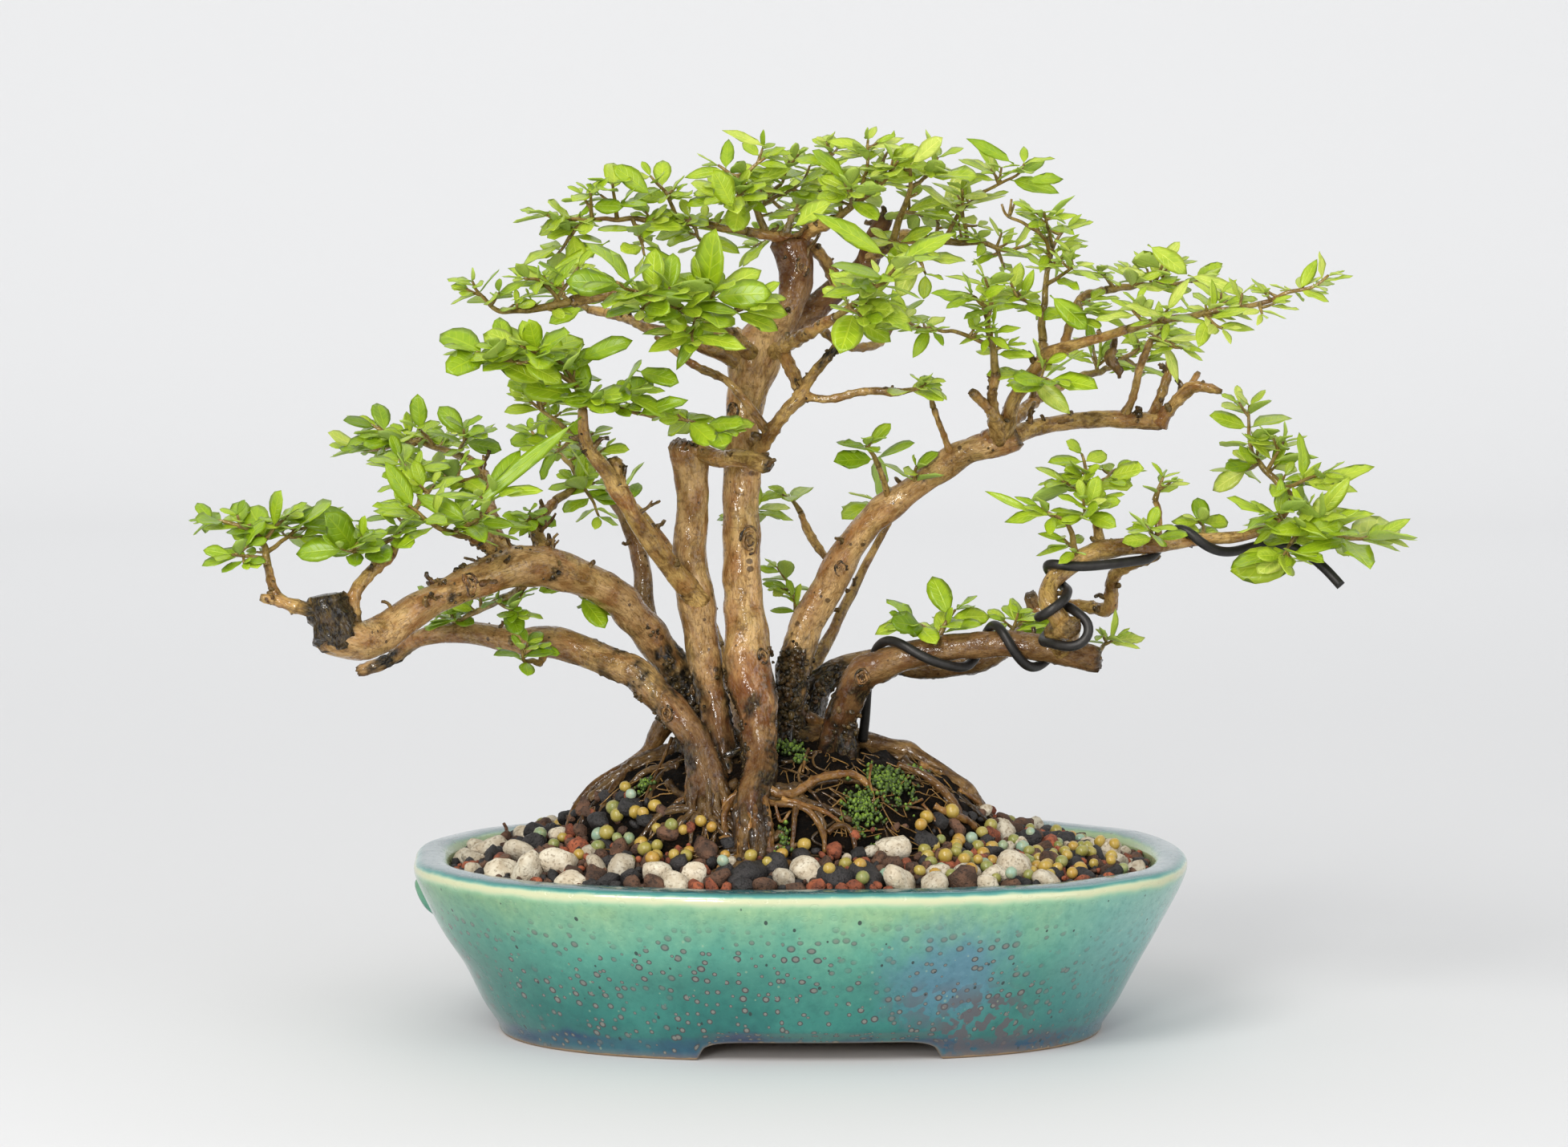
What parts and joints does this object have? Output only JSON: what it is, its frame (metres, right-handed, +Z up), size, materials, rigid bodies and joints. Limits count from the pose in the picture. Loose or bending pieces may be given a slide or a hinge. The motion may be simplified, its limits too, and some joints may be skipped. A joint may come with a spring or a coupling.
{
  "type": "bonsai tree in a pot",
  "caption": "Small premna bonsai with leaning trunks on a root pad and sprays of oval leaves, growing in gravel in an oval glazed pot.",
  "frame": {"origin": "centre of the whole plant's and pot's box in plan, on the surface that the pot's foot ring stands on", "axes": "+X to the right along the pot's length as seen from the front, +Y to the back, +Z up"},
  "size_m": [0.306, 0.1516, 0.2331],
  "materials": {
    "glaze": "gloss",
    "bark": "satin",
    "leaf": "satin",
    "gravel": "matte",
    "wire": "satin",
    "drain_mesh": "matte"
  },
  "bodies": {
    "root": {"crown_back_low_spray": "leaf", "crown_left_spray": "leaf", "crown_mid_spray": "leaf", "crown_rear_spray": "leaf", "crown_right_spray": "leaf", "crown_tip_spray": "leaf", "crown_top_spray": "leaf", "drain_mesh_left": "drain_mesh", "drain_mesh_right": "drain_mesh", "fork_back_spray": "leaf", "fork_left_spray": "leaf", "front_crown_left_spray": "leaf", "front_crown_right_spray": "leaf", "front_lean_back_spray": "leaf", "front_lean_spray": "leaf", "high_back_spray": "leaf", "high_base_spray": "leaf", "high_hanging_spray": "leaf", "high_left_spray": "leaf", "high_middle_spray": "leaf", "high_rising_spray": "leaf", "high_shoot_spray": "leaf", "high_vertical_spray": "leaf", "left_arch_under_spray": "leaf", "left_front_pad_spray": "leaf", "left_inner_low_spray": "leaf", "left_inner_spray": "leaf", "left_low_clover": "leaf", "left_mid_spray": "leaf", "left_outer_spray": "leaf", "left_pad_low_spray": "leaf", "left_pad_spray": "leaf", "left_rear_spray": "leaf", "left_under_spray": "leaf", "low_branch_small_spray": "leaf", "low_branch_spray": "leaf", "low_end_blade": "leaf", "low_green_shoot": "leaf", "main_rear_spray": "leaf", "mid_left_spray": "leaf", "mid_rear_spray": "leaf", "mid_right_low_spray": "leaf", "mid_right_small_spray": "leaf", "mid_right_spray": "leaf", "network_spray": "leaf", "pot": "glaze", "substrate": "gravel", "training_wire": "wire", "tree": "bark", "wired_end_spray": "leaf", "wired_left_spray": "leaf", "wired_mid_rear_spray": "leaf", "wired_mid_spray": "leaf", "wired_side_spray": "leaf", "wired_up_spray": "leaf", "wired_upper_spray": "leaf"}
  },
  "joints": []
}
